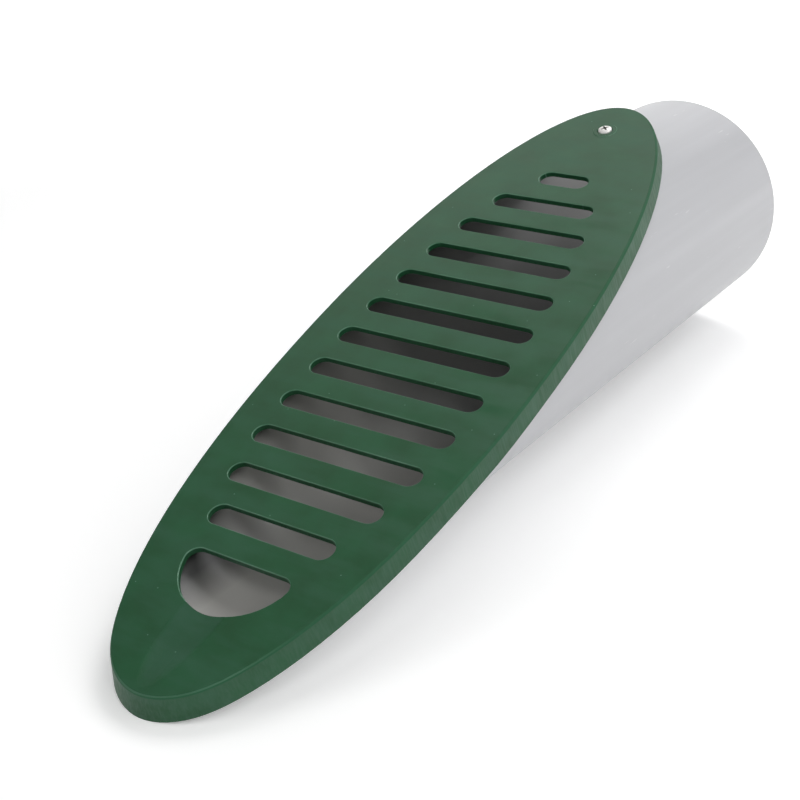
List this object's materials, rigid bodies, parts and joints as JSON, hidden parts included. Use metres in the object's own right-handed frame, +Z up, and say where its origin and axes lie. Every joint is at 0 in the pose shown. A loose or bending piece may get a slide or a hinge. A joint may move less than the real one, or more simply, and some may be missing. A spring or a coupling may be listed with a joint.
{
  "type": "yard drain emitter",
  "caption": "Yard drain emitter: a round plastic pipe cut at a long slope, closed by a slotted green cover with a half-moon outlet at its nose and one screw at its high end.",
  "frame": {"origin": "middle of the pipe's plain end, on the pipe's axis", "axes": "+X out of the pipe's plain end along its axis, so the cover slopes down towards -X, +Z up"},
  "size_m": [0.4486, 0.1218, 0.1355],
  "materials": {
    "pipe_plastic": "satin",
    "cover_plastic": "satin",
    "screw_steel": "polished"
  },
  "bodies": {
    "root": {"drain_pipe": "pipe_plastic", "grate_cover": "cover_plastic", "cover_screw": "screw_steel"}
  },
  "joints": []
}
